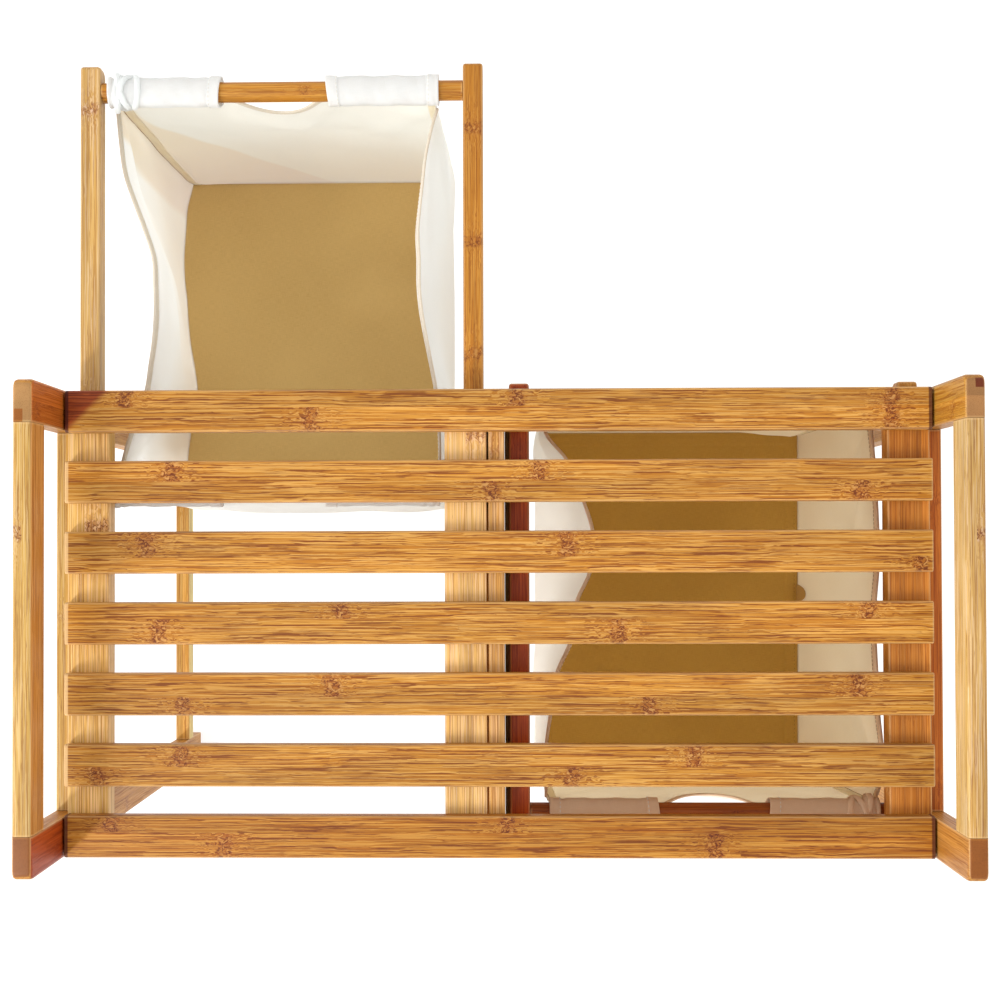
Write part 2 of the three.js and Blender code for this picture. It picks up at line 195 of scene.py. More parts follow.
class Weaver:
    """Short calls that add nodes to one tree and join them."""

    def __init__(self, tree):
        self.tree = tree

    def feed(self, socket, value):
        """Join a value to a socket, or set it there if it is plain. Plain colours come without their alpha."""
        if isinstance(value, Flow):
            self.tree.links.new(value.socket, socket)
        else:
            socket.default_value = (*value, 1) if socket.type == "RGBA" else value

    def fill(self, node, inputs):
        """Feed several sockets of a node, each by its name or number."""
        for key, value in inputs.items():
            self.feed(node.inputs[key], value)
        return node

    def add(self, kind, inputs=None, **settings):
        node = self.tree.nodes.new(kind)
        for key, value in settings.items():
            setattr(node, key, value)
        return self.fill(node, inputs or {})

    def out(self, kind, inputs=None, output=0, **settings):
        """One output of a new node."""
        return Flow(self, self.add(kind, inputs, **settings).outputs[output])

    def math(self, operation, *values):
        return self.out("ShaderNodeMath", dict(enumerate(values)), operation=operation)

    def vector(self, operation, *values):
        return self.out("ShaderNodeVectorMath", dict(enumerate(values)), operation=operation)

    def split(self, vector):
        return [Flow(self, part) for part in self.add("ShaderNodeSeparateXYZ", {"Vector": vector}).outputs]

    def join(self, x, y, z):
        return self.out("ShaderNodeCombineXYZ", {"X": x, "Y": y, "Z": z})

    def here(self, output="Object"):
        return self.out("ShaderNodeTexCoord", output=output)

    def noise(self, place, stretch, detail=2, roughness=0.5, distortion=0):
        """Noise, with as many waves to the metre along each direction as the stretch says."""
        return self.out("ShaderNodeTexNoise", {
            "Vector": self.vector("MULTIPLY", place, stretch), "Scale": 1, "Detail": detail,
            "Roughness": roughness, "Distortion": distortion}, "Fac")

    def ramp(self, value, stops):
        node = self.add("ShaderNodeValToRGB", {"Fac": value})
        band = node.color_ramp.elements
        while len(band) < len(stops):
            band.new(0.5)
        for stop, (place, colour) in zip(band, stops):
            stop.position = place
            stop.color = (*colour, 1)
        return Flow(self, node.outputs["Color"])

    def mix(self, factor, a, b, way="MIX"):
        """The colour a where the factor is 0 and b where it is 1."""
        return self.out("ShaderNodeMix", {0: factor, 6: a, 7: b}, 2, data_type="RGBA", blend_type=way)

    def tinted(self, colour, tint, factor=1):
        """The colour, multiplied by a tint where the factor is 1."""
        return self.mix(factor, colour, tint, "MULTIPLY")

    def between(self, value, low, high, to_low=0, to_high=1):
        """A smooth step from one result to the other, while the value goes from low to high."""
        return self.out("ShaderNodeMapRange", {
            "Value": value, "From Min": low, "From Max": high, "To Min": to_low, "To Max": to_high},
            interpolation_type="SMOOTHSTEP")

    def window(self, value, start, end, outside, inside):
        """1 from start to end and 0 beyond them. Each edge is soft, by so much outside and inside of it."""
        return (self.between(value, start - outside, start + inside)
                * self.between(value, end + outside, end - inside))

    def bump(self, height, strength):
        return self.out("ShaderNodeBump", {"Height": height, "Strength": strength, "Distance": 0.0004})


def new_group(name, inputs, outputs, kind="ShaderNodeTree"):
    """A node group with the named inputs and outputs, each with its kind of socket."""
    tree = bpy.data.node_groups.new(name, kind)
    for way, sockets in (("INPUT", inputs), ("OUTPUT", outputs)):
        for label, socket in sockets.items():
            tree.interface.new_socket(label, in_out=way, socket_type="NodeSocket" + socket)
    weave = Weaver(tree)
    given = {socket.name: Flow(weave, socket) for socket in weave.add("NodeGroupInput").outputs}
    return weave, given, weave.add("NodeGroupOutput")


def new_material(name, plain):
    """A material with one Principled node, whose named sockets take the given plain values."""
    material = bpy.data.materials.new(name)
    material.use_nodes = True
    weave = Weaver(material.node_tree)
    return material, weave, weave.fill(material.node_tree.nodes["Principled BSDF"], plain)


# ---------- bamboo ----------

def bamboo_group():
    """Bamboo in a board's own directions: x along the grain, y across it and z through it, in metres.

    Fibres are noise drawn out fifty to eighty times along the grain: dark where it is low, with thin dark lines
    where another noise passes through its middle, and pale ones where a third is high. A knuckle, where the
    stalk had a joint, ruffles the fibres on both sides of a column of short curled red-brown lines. On the
    ends of a board the fibres show as dots."""
    floats = ("Strip", "Seed", "Straight", "Knuckle", "Halo", "End", "Tone", "Calm")
    weave, given, out = new_group(
        "bamboo", {"Place": "Vector", **dict.fromkeys(floats, "Float"), "Tint": "Color"},
        {"Colour": "Color", "Height": "Float", "Rough": "Float"})
    strip, seed, straight, knuckle, halo, end, tone, calm = (given[key] for key in floats)
    chance = weave.add("ShaderNodeTexWhiteNoise", {"Vector": weave.join(strip, seed, 0)}, noise_dimensions="3D")
    offset = weave.vector("MULTIPLY", Flow(weave, chance.outputs["Color"]), (7, 3, 5))
    place = weave.vector("ADD", weave.vector("ADD", given["Place"], offset), weave.join(seed, seed, seed))

    slow = weave.noise(place, (9, 18, 18)) - 0.5
    tight = weave.noise(place, (55, 120, 120)) - 0.5
    ruffle = weave.noise(place, (150, 210, 210), 1) - 0.5
    shift = (slow * (straight * -0.0040 + 0.0048) + tight * (straight * -0.0010 + 0.0012)
             + ruffle * (halo * 0.0075))
    bent = weave.vector("ADD", place, weave.join(0, shift, shift))

    def drawn(along, pitch, detail=2, roughness=0.5):
        return weave.noise(bent, (along, pitch, pitch), detail, roughness)

    layers, grain, pores, bright = drawn(6, 340, 3, 0.6), drawn(12, 960), drawn(14, 700), drawn(12, 1000, 1)
    curls = weave.noise(weave.vector("ADD", place, weave.join(shift, 0, 0)), (250, 350, 350), 1, 0.5, 0.7)
    line = weave.between(abs(pores - 0.5), 0.030, 0.008)
    line_strength = weave.between(weave.noise(place, (12, 90, 90)), 0.34, 0.60, 0.12, 0.65)
    curl = weave.between(abs(curls - 0.5), 0.060, 0.020)
    core = weave.between(knuckle, 0.2, 0.8)
    strong = 1 - calm
    layer = (weave.between(layers, 0.36, 0.64) - 0.6) * strong + 0.6
    colour = weave.mix(layer, (0.385, 0.142, 0.0108), (0.485, 0.216, 0.0275))
    dark_fibre = (0.150, 0.028, 0.0020)
    for factor, shade in (
            (weave.between(grain, 0.49, 0.41) * (strong * 0.82), dark_fibre),
            (weave.between(bright, 0.52, 0.59) * (strong * 0.74), (0.62, 0.33, 0.078)),
            (line * line_strength * strong, dark_fibre),
            (halo * 0.22, (0.30, 0.080, 0.010)),
            (core * 0.34, (0.27, 0.062, 0.008)),
            (core * (curl * 0.90), (0.115, 0.019, 0.0025)),
            (core * weave.between(curls, 0.58, 0.68, 0, 0.60), (0.60, 0.32, 0.10))):
        colour = weave.mix(factor, colour, shade)
    brightest = (0.84, 0.55, 0.27)
    face_colour = weave.vector("MINIMUM", weave.tinted(colour, given["Tint"]), brightest)

    dots = weave.out("ShaderNodeTexVoronoi", {
        "Vector": weave.vector("MULTIPLY", place, (60, 1050, 1050)), "Scale": 1}, "Distance")
    end_colour = weave.mix(weave.between(dots, 0.05, 0.5), (0.30, 0.125, 0.036), (0.43, 0.205, 0.068))
    end_colour = weave.mix(weave.noise(place, (90, 90, 90)) * 0.35, end_colour, (0.48, 0.25, 0.10))
    own = weave.between(Flow(weave, chance.outputs["Value"]), 0, 1, 0.93, 1.07) * tone
    wide = weave.between(weave.noise(place, (3.2, 26, 26)), 0.32, 0.68, 0.84, 1.10)
    weave.fill(out, {
        "Colour": weave.vector("MULTIPLY", weave.mix(end, face_colour, end_colour), own * wide),
        "Height": grain * 0.5 - (curl * core + line * 0.4),
        "Rough": weave.between(grain, 0.35, 0.6, 0.52, 0.40)})
    return weave.tree


BAMBOO = bamboo_group()
# Painted highlight on every eased edge and on the slats' +X ends, where they catch the light.
EDGE_HIGHLIGHT = (0.66, 0.42, 0.19)
# Painted shade on both ends of the two outer slats, beside the legs.
SHADED_TIP = (0.07, 0.012, 0.006)
TIP_START, TIP_FULL = 0.0036, 0.0026
PLAIN_TINT = (1.08, 1.1, 1.2)
END_FRAMES_X = 0.3
RIGHT_ANGLES_FROM = math.radians(62)
# Distance from a knuckle in millimetres, strength of the knuckle itself, strength of the ruffle round it
KNUCKLE_STEPS = ((-30, 0, 0), (-9, 0, 0.6), (-3, 1, 0.9), (3, 1, 0.9), (9, 0, 0.6), (30, 0, 0))


def knuckle_ramp(weave, along, length, places):
    """Two values along a board: the strength of its knuckles and of the ruffles round them, straight between
    the steps. A step past the board's end is moved onto it."""
    stops = {0.0: (0, 0), 1.0: (0, 0)}
    for place in sorted(places):
        share = place * MM / length + 0.5
        for step, *strengths in KNUCKLE_STEPS:
            stops[min(max(share + step * MM / length, 0.0005), 0.9995)] = strengths
    return weave.split(weave.ramp(along / length + 0.5, [(p, (*stops[p], 0)) for p in sorted(stops)]))[:2]


def near_edge(weave, parts, size):
    """How near a point of a board is to one of its edges: 1 where its second nearest face is less than half a
    millimetre away, 0 from two millimetres. The second nearest is the middle one of three distances."""
    away = [size[k] / 2 - abs(parts[k]) for k in range(3)]
    less, more = weave.math("MINIMUM", *away[:2]), weave.math("MAXIMUM", *away[:2])
    second = weave.math("MAXIMUM", less, weave.math("MINIMUM", more, away[2]))
    return weave.between(second, 0.0020, 0.0005)


def slat_ends(weave, colour, name, parts, size, share):
    """The ends of a slat: a painted highlight on the right one, but painted shade on both ends of the two outer
    slats, which end in the legs' shade. The first slat also has a painted shadow of the leg there, longer toward
    its front edge."""
    outer = name in ("seat_slat_1", "seat_slat_7")
    x, half = abs(parts[0]) if outer else parts[0], size[0] / 2
    tip = weave.between(x, half - TIP_START, half - TIP_FULL, 0, 0.85)
    colour = weave.mix(tip, colour, SHADED_TIP if outer else EDGE_HIGHLIGHT)
    if name == "seat_slat_1":
        # Painted shadow of the leg on the first slat's right end, reaching farther toward its front edge.
        leg_shadow_length = share * -0.034 + 0.036
        leg_shadow = weave.between(half - parts[0] - leg_shadow_length, 0.003, -0.006)
        colour = weave.tinted(colour, (0.52, 0.20, 0.14), leg_shadow)
    return colour


def bamboo(name, grain, across, laminae=2, split=None, knuckles=(), straight=0.0, tone=1.0, seed=0.0, patches=(),
           tint=(1, 1, 1), bold=1.0, flank=None, calm=0.45):
    """Bamboo for one board. Grain and across name its axes. Laminae counts the strips glued side by side, and
    split, where it is given, is the share of the width at which the first of two strips ends. Knuckles are
    (from, to, places): the shares of the width that they cover, and their places along the board from its
    middle, in millimetres. Bold is how strong they are, straight how little the fibres wander, and calm how
    much weaker the streaks are than a slat's. The tint multiplies the board's colour. The flank does so too on the
    face toward the bench's middle, on a leg only in its upper part; on the hand rails and legs it is painted light
    and shade, lighter on the left frame, whose inward faces face the lamps, and darker on the right frame. A pale
    painted highlight lies along every eased edge. The outside of the end frames is plain.
    Patches are the tongues that show on a leg's end, each with its own tint."""
    low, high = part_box(name)
    centre = [(a + b) / 2 for a, b in zip(low, high)]
    size = [b - a for a, b in zip(low, high)]
    long_way, wide_way = "xyz".index(grain), "xyz".index(across)
    thin_way = 3 - long_way - wide_way
    material, weave, shader = new_material("bamboo_" + name, {"IOR": 1.46, "Specular IOR Level": 0.3})
    parts = weave.split(weave.vector("SUBTRACT", weave.here(), tuple(centre)))
    own = weave.join(parts[long_way], parts[wide_way], parts[thin_way])
    share, deep = (parts[way] / size[way] + 0.5 for way in (wide_way, thin_way))
    strip = weave.math("GREATER_THAN", share, split) if split else weave.math("FLOOR", share * laminae)

    along = parts[long_way] + (weave.noise(own, (30, 260, 260)) - 0.5) * 0.014
    core = halo = 0.0
    for start, end, places in knuckles:
        near, wide = knuckle_ramp(weave, along, size[long_way], places)
        inside = weave.window(share, start, end, 0.02, 0.03)
        core, halo = core + near * inside, halo + wide * inside
    normal = weave.split(weave.here("Normal"))
    end_on = weave.between(abs(normal[long_way]), 0.75, 0.9)
    inward = normal[0] * (-1 if centre[0] > 0 else 1)
    if abs(centre[0]) > END_FRAMES_X:
        tint = weave.mix(weave.between(inward, -0.55, -0.75), tint, PLAIN_TINT)
    group = weave.add("ShaderNodeGroup", {
        "Place": own, "Strip": strip, "Seed": seed, "Straight": straight, "Knuckle": core * bold,
        "Halo": halo * bold, "End": end_on, "Tone": tone, "Calm": calm, "Tint": tint}, node_tree=BAMBOO)
    colour, height, rough = (Flow(weave, socket) for socket in group.outputs)

    # Painted light and shade on the face toward the bench's middle, by the side's flank tint.
    if flank:
        facing = weave.between(inward, 0.55, 0.75)
        if grain == "z":
            facing = facing * weave.between(parts[2], 0.12, 0.20)
        colour = weave.tinted(colour, flank, facing)
    # Painted highlight along every eased edge.
    colour = weave.mix(near_edge(weave, parts, size) * 0.4, colour, EDGE_HIGHLIGHT)
    if name.startswith("seat_slat"):
        colour = slat_ends(weave, colour, name, parts, size, share)
    for (wide_from, wide_to, deep_from, deep_to), patch_tint in patches:
        inside = (end_on * weave.window(share, wide_from, wide_to, 0.006, 0.006)
                  * weave.window(deep, deep_from, deep_to, 0.006, 0.006))
        colour = weave.tinted(colour, patch_tint, inside)
    weave.fill(shader, {"Base Color": colour, "Roughness": rough, "Normal": weave.bump(height, 0.25)})
    cover(name, material)


def soft_edge_group():
    """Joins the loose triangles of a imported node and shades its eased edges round, while right angles stay
    sharp."""
    sockets = {"Geometry": "Geometry"}
    weave, given, out = new_group("soft_edges", sockets, sockets, "GeometryNodeTree")
    merged = weave.out("GeometryNodeMergeByDistance", {"Geometry": given["Geometry"], "Distance": 1e-5})
    rounded = weave.out("GeometryNodeSetShadeSmooth", {"Geometry": merged, "Shade Smooth": True})
    steep = weave.math("GREATER_THAN", weave.out("GeometryNodeInputMeshEdgeAngle"), RIGHT_ANGLES_FROM)
    sharp = weave.out("GeometryNodeSetShadeSmooth", {
        "Geometry": rounded, "Selection": steep, "Shade Smooth": False}, domain="EDGE")
    weave.fill(out, {0: sharp})
    return weave.tree


SOFT_EDGES = soft_edge_group()


def cover(name, material):
    """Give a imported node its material, and round shading over its eased edges."""
    thing = nodes[name]
    thing.data.materials.clear()
    thing.data.materials.append(material)
    thing.modifiers.new("soft_edges", "NODES").node_group = SOFT_EDGES
    weighted = thing.modifiers.new("even_faces", "WEIGHTED_NORMAL")
    weighted.keep_sharp = True
    weighted.weight = 60


# The seven slats, front to back: the share of the width where the first strip ends, the tone, and the places
# of the knuckles in the first and in the second strip, in millimetres from the middle of the bench
SLATS = [
    (0.42, 0.98, [299, -16, -315], [150, -315]),
    (0.50, 1.06, [-34, 262], [4, -290]),
    (0.62, 0.95, [-57, 282], [-338]),
    (0.40, 1.01, [124, -295], [272, -97]),
    (0.56, 1.00, [132, -287], [252, -122]),
    (0.53, 0.97, [254, -157], [321, -61]),
    (0.40, 0.88, [-8, 310], [219, -173]),
]

# Battens and middle rail: strips, seed, the knuckle's (from, to, places), how bold it is, tint. The right batten's
# pale tint is partly painted light: it stands lit on the +X side, which faces the lamps.
ROUND_MIDDLE = {
    "right_seat_batten": (5, 29, (0.0, 0.6, [-78]), 0.8, (1.64, 2.36, 6.0)),
    "left_seat_batten": (5, 17, (0.3, 0.8, [62]), 0.4, (1.09, 0.90, 0.88)),
    "middle_seat_batten": (6, 23, (0.0, 0.5, [-150]), 0.6, (1.75, 2.55, 7.4)),
    "middle_rail": (2, 31, (0.3, 1.0, [-140]), 0.4, (1.42, 1.80, 4.3)),
}

# Each side's own seed, knuckles and tints. An arm has the places of its knuckles and its tint. Several tints paint
# light and shade: hand_flank, front_leg and back_leg lighten the left frame's inward faces, which face the lamps,
# and darken the right frame's, which turn away from them. The right seat rail's pale tint is partly a painted
# highlight. The left bin's inner arm and bars are painted dark red-brown as the shade under the seat.
SIDES = {
    "left": dict(seed=40, hand_knuckle=(0.0, 0.5, [-69]), hand_rail=(1.20, 1.69, 4.6),
                 hand_flank=(1.17, 1.31, 1.46), front_leg=(1.15, 1.24, 1.2), back_leg=(1.0, 0.98, 1.25),
                 seat_rail=(1.11, 0.68, 0.34), bars=(0.75, 0.42, 0.30),
                 inner_arm=([-120, 60], (0.84, 0.276, 0.10)), outer_arm=([-120, 60], (1, 1, 1))),
    "right": dict(seed=60, hand_knuckle=(0.5, 1.0, [-72]), hand_rail=(1.12, 1.58, 3.5),
                  hand_flank=(1.12, 0.78, 0.54), front_leg=(1.08, 0.64, 0.50), back_leg=(0.78, 0.25, 0.12),
                  seat_rail=(1.29, 1.84, 3.9), bars=(1.08, 1.07, 0.91),
                  inner_arm=([-132, -39, 54], (1.02, 0.97, 0.80)), outer_arm=([-150, 96], (1.24, 1.76, 4.8))),
}

# Glued tongues on the legs' tops: shares (from, to) of the leg's depth and (from, to) of its width, tint
BROWN, UMBER, RUSSET = (0.65, 0.42, 0.135), (0.33, 0.11, 0.03), (0.55, 0.34, 0.12)
TAN, PALE, CHESTNUT = (0.75, 0.73, 0.69), (0.85, 0.92, 0.92), (0.50, 0.34, 0.20)
WHOLE_TOP = (-0.1, 1.1, -0.1, 1.1)
LEG_TOPS = {
    "right_front": [((0.70, 1.1, 0.47, 1.1), BROWN), ((-0.1, 0.7, -0.1, 1.1), PALE),
                    ((0.7, 1.1, -0.1, 0.47), PALE)],
    "left_front": [((-0.1, 0.31, -0.1, 0.5), UMBER), ((0.31, 1.1, -0.1, 0.5), TAN),
                   ((-0.1, 1.1, 0.5, 1.1), TAN)],
    "right_back": [(WHOLE_TOP, CHESTNUT)],
    "left_back": [(WHOLE_TOP, RUSSET)],
}


def chance_knuckles(rng, length):
    """Knuckles at uneven distances of about a quarter metre, in each of the two strips of a hidden board."""
    made = []
    for start_share in (0.0, 0.5):
        start = rng.uniform(-length / 2, -length / 2 + 200)
        places = start + np.cumsum([0, *rng.uniform(190, 270, 4)])
        made.append((start_share, start_share + 0.5, [float(p) for p in places if p < length / 2 - 5]))
    return made


def dress_bamboo():
    """Bamboo on every board of the bench and the bins, with its own seed, knuckles and tint."""
    rng = np.random.default_rng(41)
    for k, (split, tone, first, second) in enumerate(SLATS):
        bamboo(f"seat_slat_{k + 1}", "x", "y", split=split, knuckles=[(0.0, split, first), (split, 1.0, second)],
               seed=3.7 * k + 1, calm=0.0, tone=tone, tint=(1, 1, 1) if k < 6 else (0.97, 0.86, 0.62))
    for name, (laminae, seed, knuckle, bold, tint) in ROUND_MIDDLE.items():
        bamboo(name, "y", "x", laminae, straight=1, seed=seed, knuckles=[knuckle], bold=bold, tint=tint)
    for side, own in SIDES.items():
        seed = own["seed"]
        bamboo(f"{side}_hand_rail", "y", "x", split=0.5, straight=0.4, seed=seed, bold=0.7,
               knuckles=[own["hand_knuckle"]], tint=own["hand_rail"], flank=own["hand_flank"])
        for step, place in enumerate(("front", "back")):
            bamboo(f"{side}_{place}_leg", "z", "y", straight=0.3, seed=seed + 3 + step, bold=0.5,
                   knuckles=chance_knuckles(rng, 568), patches=LEG_TOPS[f"{side}_{place}"],
                   flank=own[place + "_leg"])
            bamboo(f"{side}_bin_{place}_bar", "x", "y", straight=0.3, seed=seed + 17 + step, bold=0.5,
                   knuckles=[(0.3, 0.8, [-18, 120])], tint=own["bars"])
        bamboo(f"{side}_seat_rail", "y", "x", straight=0.5, seed=seed + 8, bold=0.4,
               knuckles=chance_knuckles(rng, 310), tint=own["seat_rail"])
        bamboo(f"{side}_lower_rail", "y", "x", straight=0.5, seed=seed + 7, bold=0.4,
               knuckles=chance_knuckles(rng, 310), tint=(1.15, 1.35, 2.0), flank=(1.2, 1.8, 2.8))
        for place, step in (("outer", 1), ("inner", 0)):
            bamboo(f"{side}_{place}_ledge", "y", "x", straight=0.6, seed=seed + 11, bold=0.5,
                   knuckles=chance_knuckles(rng, 370))
            places, tint = own[place + "_arm"]
            bamboo(f"{side}_bin_{place}_arm", "y", "x", straight=0.6, seed=seed + 13 + step, bold=0.6,
                   knuckles=[(0.0, 1.0, places)], tint=tint)
    bamboo("back_stretcher", "x", "z", straight=0.4, seed=77, knuckles=chance_knuckles(rng, 700))


# ---------- steel ----------

def dress_steel():
    """Zinc-plated steel on the bolts and screws, lightly worn: its colour and its gloss follow a fine noise."""
    material, weave, shader = new_material("plated_steel", {"Metallic": 1})
    worn = weave.noise(weave.here(), (900, 900, 900), 3)
    weave.fill(shader, {"Base Color": weave.ramp(worn, [(0.3, (0.36, 0.35, 0.33)), (0.7, (0.62, 0.61, 0.58))]),
                        "Roughness": weave.between(worn, 0.3, 0.7, 0.22, 0.42)})
    for name in nodes:
        if name.endswith(("_bolt", "_screw")):
            cover(name, material)


# ---------- cloth ----------

WEAVE_PITCH = 0.0006


def weave_height(weave, place):
    """Plain weave on the cloth's own map: warp and weft as two crossed sine waves, each over where the other
    is under."""
    u, v = (part * (PI / WEAVE_PITCH) for part in weave.split(place)[:2])
    return weave.math("SINE", u) * weave.math("SINE", v)


def canvas_material(name, light, shadow, through_colour=None, share=0.0, foot=None):
    """Cotton cloth between a light and a shadow colour: slubs along warp and weft, slow clouds, a fine weave,
    and a share of light let through in a third colour. Where a foot colour is given, it darkens the cloth more
    and more from 360 down to 170 mm above the floor, as painted shade toward the bottom of the bag."""
    material, weave, shader = new_material(name, {"Roughness": 0.9, "Sheen Weight": 0.15})
    place = weave.out("ShaderNodeUVMap", uv_map="cloth")
    slubs = weave.noise(place, (2600, 160, 1)) * 0.5 + weave.noise(place, (160, 2600, 1)) * 0.5
    tone = slubs * 0.7 + weave.noise(place, (9, 9, 1), 3) * 0.3
    colour = weave.mix(weave.between(tone, 0.36, 0.60), shadow, light)
    if foot:
        # Painted shade, deeper toward the bottom of the bag.
        height = weave.split(weave.here())[2]
        colour = weave.tinted(colour, foot, weave.between(height, 0.36, 0.17))
    bump = weave.bump(weave_height(weave, place) * 0.25 + slubs, 0.35)
    weave.fill(shader, {"Base Color": colour, "Normal": bump})
    if share:
        lit = weave.out("ShaderNodeBsdfTranslucent", {"Color": through_colour, "Normal": bump})
        both = weave.out("ShaderNodeMixShader", {0: share, 1: Flow(weave, shader.outputs[0]), 2: lit})
        out = next(n for n in weave.tree.nodes if n.type == "OUTPUT_MATERIAL")
        weave.fill(out, {"Surface": both})
    return material


CANVAS = canvas_material("unbleached_canvas", (0.93, 0.962, 0.97), (0.87, 0.892, 0.89), (0.97, 0.98, 0.97), 0.50)
CANVAS_INSIDE = canvas_material(
    "canvas_inside", (0.97, 0.975, 0.97), (0.92, 0.92, 0.90), (0.98, 0.985, 0.97), 0.52, foot=(0.82, 0.63, 0.38))
# Shaded copies for the left bag, which stands in the shade under the seat: its tan canvas is painted shade.
SHADED_CANVAS_INSIDE = canvas_material(
    "canvas_inside_shaded", (0.93, 0.78, 0.55), (0.87, 0.71, 0.47), (0.97, 0.87, 0.66), 0.40,
    foot=(0.96, 0.90, 0.82))
SHADED_CANVAS = canvas_material("canvas_shaded", (0.90, 0.67, 0.46), (0.84, 0.60, 0.39), (0.95, 0.78, 0.58), 0.30)
# Folded double cloth of the right bag's hems: it lets less light through, and its darker colour is painted shade.
FOLDED_AND_SHADED = canvas_material("folded_canvas_shaded", (0.80, 0.73, 0.61), (0.70, 0.62, 0.50), (0.85, 0.75, 0.60), 0.12)
# Felled corner seams: their warmer tan colour is painted shade in the corners.
FELLED_AND_SHADED = canvas_material("felled_canvas_shaded", (0.97, 0.91, 0.78), (0.92, 0.85, 0.69), (0.98, 0.93, 0.80), 0.55)
THREAD = canvas_material("sewing_thread", (0.90, 0.88, 0.84), (0.80, 0.78, 0.72))
# Dark brown stitches: real thread in the corner seams; along the left bag's side hems they also paint the dark
# shadow line under the hem.
BROWN_THREAD_AND_SHADE_LINE = canvas_material("brown_thread_and_shade_line", (0.42, 0.28, 0.15), (0.30, 0.18, 0.09))
KHAKI = canvas_material("khaki_twill", (0.63, 0.42, 0.150), (0.55, 0.355, 0.118))
# Painted shade: the left bag's khaki, darker and redder as it lies under the seat.
SHADED_KHAKI = canvas_material("khaki_twill_shaded", (0.58, 0.34, 0.066), (0.50, 0.28, 0.048))
KHAKI_THREAD = canvas_material("khaki_thread", (0.30, 0.16, 0.03), (0.22, 0.11, 0.018))


def paint_shade_below_fold(material, bag):
    """Painted shade on the inside of a front wall: darker below its fold, a line from the outer corner down to the
    foot. Its distance from the corner grows with the square of the way down, and the shade fades with that
    distance. The whole inside of the front wall is also tinted yellower."""
    weave = Weaver(material.node_tree)
    base_colour = material.node_tree.nodes["Principled BSDF"].inputs["Base Color"]
    x, y, z = weave.split(weave.here())
    corner = bag.world(np.array([bag.half - 7.0, -bag.corner_y, bag.top_z - 5.0])).tolist()
    across = (corner[0] - x) * bag.sign
    down = corner[2] - z
    reached = down * down * 1.85 + 0.004
    on_front = weave.between(y, corner[1] + 0.030, corner[1] + 0.020)
    # Painted shade below the fold line.
    below = weave.between(reached - across, -0.001, 0.005) * weave.between(across, 0.21, 0.10) * on_front
    colour = weave.tinted(Flow(weave, base_colour.links[0].from_socket), (0.96, 0.92, 0.81), on_front)
    weave.feed(base_colour, weave.tinted(colour, (0.90, 0.70, 0.39), below))


# ---------- form of a bag, in millimetres ----------

WALL_DROP, SIDE_WIDTH, END_HALF = 290.0, 330.0, 137.0
GRIP_HALF, ARCH_HALF, ARCH_DEPTH = 44.7, 34.0, 35.0
EDGE_UNDER_BAR = 16.0
CORNER_INSET, FOOT_OUTSET = 5.5, 6.2
SIDE_DIP, HEM_PULL, END_BELLY = 5.0, 3.6, 9.0
SLEEVE_PAST_CORNER = 0.8
SLEEVE_ROUND, SLEEVE_HALF_DEPTH, SLEEVE_OVER_BAR = 11.0, 13.1, 9.8
SLEEVE_TOP_Z = 467.3
HEM_WIDTH = 9.5
BASE_INSET, BASE_LIFT, STITCH_INSET = 1.6, 0.2, 4.2
CLOTH_THICKNESS = 0.0011

# Creases: from (across, down) to (across, down), width, height
SIDE_CREASES = [(0, 0, 62, 165, 7, 4.8), (0, 0, 120, 90, 11, -3.0), (0, 10, 30, 220, 10, -2.8),
                (330, 0, 262, 150, 7, 3.4), (330, 0, 215, 95, 11, -2.2), (330, 10, 296, 210, 10, -2.0),
                (0, 290, 70, 200, 12, 1.4), (330, 290, 250, 215, 12, 1.3)]
END_CREASES = [(-137, 5, -40, 190, 12, -2.4), (137, 5, 40, 190, 12, -2.4), (-44, 5, -75, 120, 9, 1.6),
               (44, 5, 75, 120, 9, 1.6), (-44, 20, 10, 150, 10, -1.5), (44, 20, 0, 170, 10, 1.3),
               (-137, 280, -60, 200, 13, 1.6), (137, 280, 60, 205, 13, 1.6)]


def creases(p, q, lines):
    """Sum of soft ridges. Each runs from one point of the cloth to another: its height times a bell curve of
    the distance from that line, fading toward its far end."""
    total = np.zeros(np.broadcast(p, q).shape)
    for p0, q0, p1, q1, width, height in lines:
        dp, dq = p1 - p0, q1 - q0
        f = within(((p - p0) * dp + (q - q0) * dq) / (dp * dp + dq * dq))
        away = np.hypot(p - p0 - f * dp, q - q0 - f * dq)
        total = total + height * bell(away, width) * np.cos(f * PI / 2) ** 0.7
    return total


def ripples(p, q, seed, count, low, high, height):
    """Sum of a few long waves over the cloth, each with its own direction, length and phase."""
    rng = np.random.default_rng(seed)
    total = np.zeros(np.broadcast(p, q).shape)
    for angle, wave, phase in zip(rng.uniform(0, PI, count), rng.uniform(low, high, count),
                                  rng.uniform(0, 2 * PI, count)):
        total = total + np.sin((p * math.cos(angle) + q * math.sin(angle)) * 2 * PI / wave + phase)
    return total * height / math.sqrt(count)


